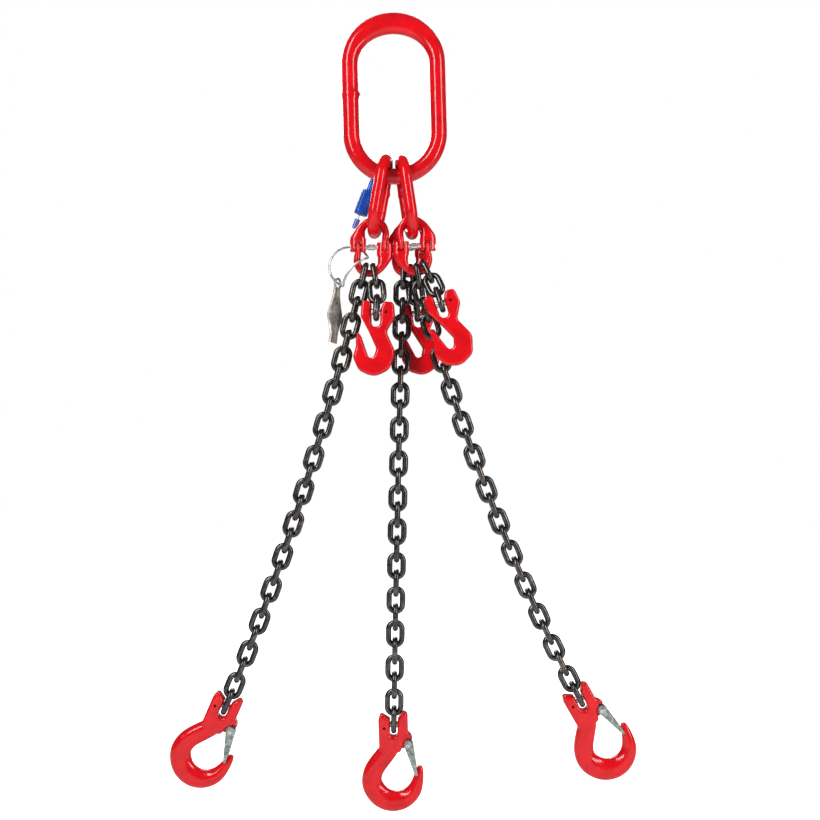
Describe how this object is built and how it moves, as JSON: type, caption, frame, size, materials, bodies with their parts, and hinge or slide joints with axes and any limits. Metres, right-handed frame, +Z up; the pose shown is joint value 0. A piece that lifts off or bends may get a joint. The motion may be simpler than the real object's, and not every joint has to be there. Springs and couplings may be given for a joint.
{
  "type": "chain sling",
  "caption": "Lifting chain sling: an oblong master link carries oblong sub-links, pinned coupling links, chain legs with latched clevis hooks, and short grab-hook chains.",
  "frame": {"origin": "the crane hook's seat: the middle of the flat inside the master link's top crown", "axes": "+Z up, along the hanging sling; -Y its front, the side the coupling pins and latches face across; X across the fan of legs"},
  "size_m": [0.6511, 0.0953, 1.1242],
  "materials": {
    "powder_red": "glossy red powder coat over forged steel, worn where links bear",
    "chain_black": "black oiled heat-treated steel, satin with bright highlights",
    "plated_steel": "bright zinc-plated pins, sleeves and springs",
    "galvanised_sheet": "mottled galvanised sheet of the safety latches",
    "tag_wire": "bright steel wire loop of the tag",
    "tag_plate": "dull grey-brown stamped metal, blank",
    "seal_blue": "blue anodised-looking seal body",
    "ferrule_lilac": "lilac-blue crimped ferrule",
    "seal_wire": "stranded steel cable"
  },
  "bodies": {
    "master": {"master_link": "powder_red"},
    "centre_latch": {"centre_latch": "galvanised_sheet", "centre_latch_spring": "plated_steel"},
    "centre_leg_1": {"centre_leg_chain_1": "chain_black"},
    "centre_leg_2": {"centre_leg_chain_2": "chain_black"},
    "centre_leg_3": {"centre_leg_chain_3": "chain_black"},
    "centre_leg_4": {"centre_leg_chain_4": "chain_black"},
    "centre_sling_hook": {"centre_hook_load_pin": "plated_steel", "centre_hook_retaining_pin": "plated_steel", "centre_latch_pin": "plated_steel", "centre_sling_hook": "powder_red"},
    "front_coupling_lower": {"front_coupling_lower": "powder_red"},
    "front_coupling_upper": {"front_coupling_pin": "plated_steel", "front_coupling_sleeve": "plated_steel", "front_coupling_upper": "powder_red"},
    "id_tag": {"id_tag": "tag_plate"},
    "left_coupling_lower": {"left_coupling_lower": "powder_red"},
    "left_coupling_upper": {"left_coupling_pin": "plated_steel", "left_coupling_sleeve": "plated_steel", "left_coupling_upper": "powder_red"},
    "left_grab_hook": {"left_grab_hook": "powder_red", "left_grab_load_pin": "plated_steel"},
    "left_intermediate": {"left_intermediate_link": "powder_red"},
    "left_latch": {"left_latch": "galvanised_sheet", "left_latch_spring": "plated_steel"},
    "left_leg_1": {"left_leg_chain_1": "chain_black"},
    "left_leg_2": {"left_leg_chain_2": "chain_black"},
    "left_leg_3": {"left_leg_chain_3": "chain_black"},
    "left_leg_4": {"left_leg_chain_4": "chain_black"},
    "left_shortener": {"left_shortener_chain": "chain_black"},
    "left_sling_hook": {"left_hook_load_pin": "plated_steel", "left_hook_retaining_pin": "plated_steel", "left_latch_pin": "plated_steel", "left_sling_hook": "powder_red"},
    "rear_coupling_lower": {"rear_coupling_lower": "powder_red"},
    "rear_coupling_upper": {"rear_coupling_pin": "plated_steel", "rear_coupling_sleeve": "plated_steel", "rear_coupling_upper": "powder_red"},
    "rear_grab_hook": {"rear_grab_hook": "powder_red", "rear_grab_load_pin": "plated_steel"},
    "rear_shortener": {"rear_shortener_chain": "chain_black"},
    "right_grab_hook": {"right_grab_hook": "powder_red", "right_grab_load_pin": "plated_steel"},
    "right_intermediate": {"right_intermediate_link": "powder_red"},
    "right_latch": {"right_latch": "galvanised_sheet", "right_latch_spring": "plated_steel"},
    "right_leg_1": {"right_leg_chain_1": "chain_black"},
    "right_leg_2": {"right_leg_chain_2": "chain_black"},
    "right_leg_3": {"right_leg_chain_3": "chain_black"},
    "right_leg_4": {"right_leg_chain_4": "chain_black"},
    "right_shortener": {"right_shortener_chain": "chain_black"},
    "right_sling_hook": {"right_hook_load_pin": "plated_steel", "right_hook_retaining_pin": "plated_steel", "right_latch_pin": "plated_steel", "right_sling_hook": "powder_red"},
    "seal": {"seal_body": "seal_blue", "seal_cable": "seal_wire", "seal_ferrule": "ferrule_lilac"},
    "tag_loop": {"tag_loop": "tag_wire"}
  },
  "joints": [
    {"name": "centre_latch_turn", "type": "hinge", "parent": "centre_sling_hook", "child": "centre_latch", "pos_m": [0.02193, 0.0114, -1.0011], "axis": [0, 1, 0], "range_deg": [0, 30]},
    {"name": "centre_leg_1_swing", "type": "hinge", "parent": "rear_coupling_lower", "child": "centre_leg_1", "pos_m": [0.01519, 0.0114, -0.33265], "axis": [0.9996, 0, -0.0279], "range_deg": [-7, 0]},
    {"name": "centre_leg_2_swing", "type": "hinge", "parent": "centre_leg_1", "child": "centre_leg_2", "pos_m": [0.01081, 0.0114, -0.5002], "axis": [0, 1, 0], "range_deg": [-10, 10]},
    {"name": "centre_leg_3_swing", "type": "hinge", "parent": "centre_leg_2", "child": "centre_leg_3", "pos_m": [0.00701, 0.0114, -0.66885], "axis": [-0.9998, 0, 0.0206], "range_deg": [-30, 30]},
    {"name": "centre_leg_4_swing", "type": "hinge", "parent": "centre_leg_3", "child": "centre_leg_4", "pos_m": [0.00383, 0.0114, -0.83752], "axis": [0, -1, 0], "range_deg": [-25, 25]},
    {"name": "centre_sling_hook_swing", "type": "hinge", "parent": "centre_leg_4", "child": "centre_sling_hook", "pos_m": [0.00173, 0.0114, -0.97281], "axis": [0.9999, 0, -0.0143], "range_deg": [-10, 10]},
    {"name": "front_coupling_lower_swing", "type": "hinge", "parent": "front_coupling_upper", "child": "front_coupling_lower", "pos_m": [0.03076, -0.0074, -0.29916], "axis": [1, 0, 0], "range_deg": [-25, 0]},
    {"name": "front_coupling_upper_swing", "type": "hinge", "parent": "right_intermediate", "child": "front_coupling_upper", "pos_m": [0.02726, -0.0074, -0.27696], "axis": [0, -1, 0], "range_deg": [0, 30]},
    {"name": "id_tag_swing", "type": "hinge", "parent": "tag_loop", "child": "id_tag", "pos_m": [-0.07669, -0.0034, -0.35078], "axis": [-0.866, 0.5, 0], "range_deg": [0, 15]},
    {"name": "left_coupling_lower_swing", "type": "hinge", "parent": "left_coupling_upper", "child": "left_coupling_lower", "pos_m": [-0.02949, -0.0035, -0.30018], "axis": [1, 0, 0], "range_deg": [-25, 5]},
    {"name": "left_coupling_upper_swing", "type": "hinge", "parent": "left_intermediate", "child": "left_coupling_upper", "pos_m": [-0.02599, -0.0035, -0.27798], "axis": [0, 1, 0], "range_deg": [0, 30]},
    {"name": "left_grab_hook_swing", "type": "hinge", "parent": "left_shortener", "child": "left_grab_hook", "pos_m": [-0.02205, -0.02283, -0.3926], "axis": [0.9962, -0.0768, -0.0401], "range_deg": [-20, 20]},
    {"name": "left_intermediate_swing", "type": "hinge", "parent": "master", "child": "left_intermediate", "pos_m": [-0.01202, 0, -0.19793], "axis": [0.9851, 0, -0.1719], "range_deg": [-28, 0]},
    {"name": "left_latch_turn", "type": "hinge", "parent": "left_sling_hook", "child": "left_latch", "pos_m": [-0.22721, -0.0035, -0.97766], "axis": [0, 1, 0], "range_deg": [0, 30]},
    {"name": "left_leg_1_swing", "type": "hinge", "parent": "left_coupling_lower", "child": "left_leg_1", "pos_m": [-0.03944, -0.0035, -0.3339], "axis": [0.9709, 0, -0.2394], "range_deg": [0, 25]},
    {"name": "left_leg_2_swing", "type": "hinge", "parent": "left_leg_1", "child": "left_leg_2", "pos_m": [-0.08172, -0.0035, -0.49607], "axis": [0, 1, 0], "range_deg": [-10, 25]},
    {"name": "left_leg_3_swing", "type": "hinge", "parent": "left_leg_2", "child": "left_leg_3", "pos_m": [-0.12946, -0.0035, -0.65787], "axis": [-0.9534, 0, 0.3017], "range_deg": [-30, 30]},
    {"name": "left_leg_4_swing", "type": "hinge", "parent": "left_leg_3", "child": "left_leg_4", "pos_m": [-0.18377, -0.0035, -0.81757], "axis": [0, -1, 0], "range_deg": [-25, 25]},
    {"name": "left_shortener_swing", "type": "hinge", "parent": "left_coupling_lower", "child": "left_shortener", "pos_m": [-0.02593, -0.0035, -0.3345], "axis": [0.9816, 0, 0.1908], "range_deg": [-25, 0]},
    {"name": "left_sling_hook_swing", "type": "hinge", "parent": "left_leg_4", "child": "left_sling_hook", "pos_m": [-0.23334, -0.0035, -0.94345], "axis": [0.8974, 0, -0.4413], "range_deg": [-10, 10]},
    {"name": "rear_coupling_lower_swing", "type": "hinge", "parent": "rear_coupling_upper", "child": "rear_coupling_lower", "pos_m": [0.02376, 0.0114, -0.29916], "axis": [1, 0, 0], "range_deg": [0, 25]},
    {"name": "rear_coupling_upper_swing", "type": "hinge", "parent": "right_intermediate", "child": "rear_coupling_upper", "pos_m": [0.02726, 0.0114, -0.27696], "axis": [0, 1, 0], "range_deg": [0, 4]},
    {"name": "rear_grab_hook_swing", "type": "hinge", "parent": "rear_shortener", "child": "rear_grab_hook", "pos_m": [0.03463, 0.03628, -0.38955], "axis": [0.9916, 0.0566, 0.1162], "range_deg": [0, 15]},
    {"name": "rear_shortener_swing", "type": "hinge", "parent": "rear_coupling_lower", "child": "rear_shortener", "pos_m": [0.02704, 0.0114, -0.33387], "axis": [0.9703, 0, 0.2419], "range_deg": [0, 20]},
    {"name": "right_grab_hook_swing", "type": "hinge", "parent": "right_shortener", "child": "right_grab_hook", "pos_m": [0.06707, -0.03138, -0.38163], "axis": [0.9509, -0.0611, 0.3035], "range_deg": [-10, 0]},
    {"name": "right_intermediate_swing", "type": "hinge", "parent": "master", "child": "right_intermediate", "pos_m": [0.01531, 0, -0.19883], "axis": [0.9885, 0, 0.1513], "range_deg": [0, 40]},
    {"name": "right_latch_turn", "type": "hinge", "parent": "right_sling_hook", "child": "right_latch", "pos_m": [0.29268, -0.0074, -0.94728], "axis": [0, 1, 0], "range_deg": [0, 30]},
    {"name": "right_leg_1_swing", "type": "hinge", "parent": "front_coupling_lower", "child": "right_leg_1", "pos_m": [0.03459, -0.0074, -0.33469], "axis": [0.9826, 0, 0.1858], "range_deg": [0, 5]},
    {"name": "right_leg_2_swing", "type": "hinge", "parent": "right_leg_1", "child": "right_leg_2", "pos_m": [0.08037, -0.0074, -0.49578], "axis": [0, -1, 0], "range_deg": [-10, 25]},
    {"name": "right_leg_3_swing", "type": "hinge", "parent": "right_leg_2", "child": "right_leg_3", "pos_m": [0.13747, -0.0074, -0.65451], "axis": [-0.9324, 0, -0.3613], "range_deg": [-30, 30]},
    {"name": "right_leg_4_swing", "type": "hinge", "parent": "right_leg_3", "child": "right_leg_4", "pos_m": [0.20244, -0.0074, -0.81017], "axis": [0, 1, 0], "range_deg": [-25, 25]},
    {"name": "right_shortener_swing", "type": "hinge", "parent": "front_coupling_lower", "child": "right_shortener", "pos_m": [0.04556, -0.0074, -0.32927], "axis": [0.8988, 0, 0.4384], "range_deg": [-20, 0]},
    {"name": "right_sling_hook_swing", "type": "hinge", "parent": "right_leg_4", "child": "right_sling_hook", "pos_m": [0.26153, -0.0074, -0.93186], "axis": [0.8884, 0, 0.459], "range_deg": [-10, 10]},
    {"name": "seal_turn", "type": "hinge", "parent": "left_intermediate", "child": "seal", "pos_m": [-0.00846, 0.02611, -0.19078], "axis": [0.1408, -0.5736, 0.807], "range_deg": [-12, 12]},
    {"name": "tag_loop_swing", "type": "hinge", "parent": "left_coupling_lower", "child": "tag_loop", "pos_m": [-0.02949, -0.0035, -0.30018], "axis": [1, 0, 0], "range_deg": [-3, 3]}
  ]
}
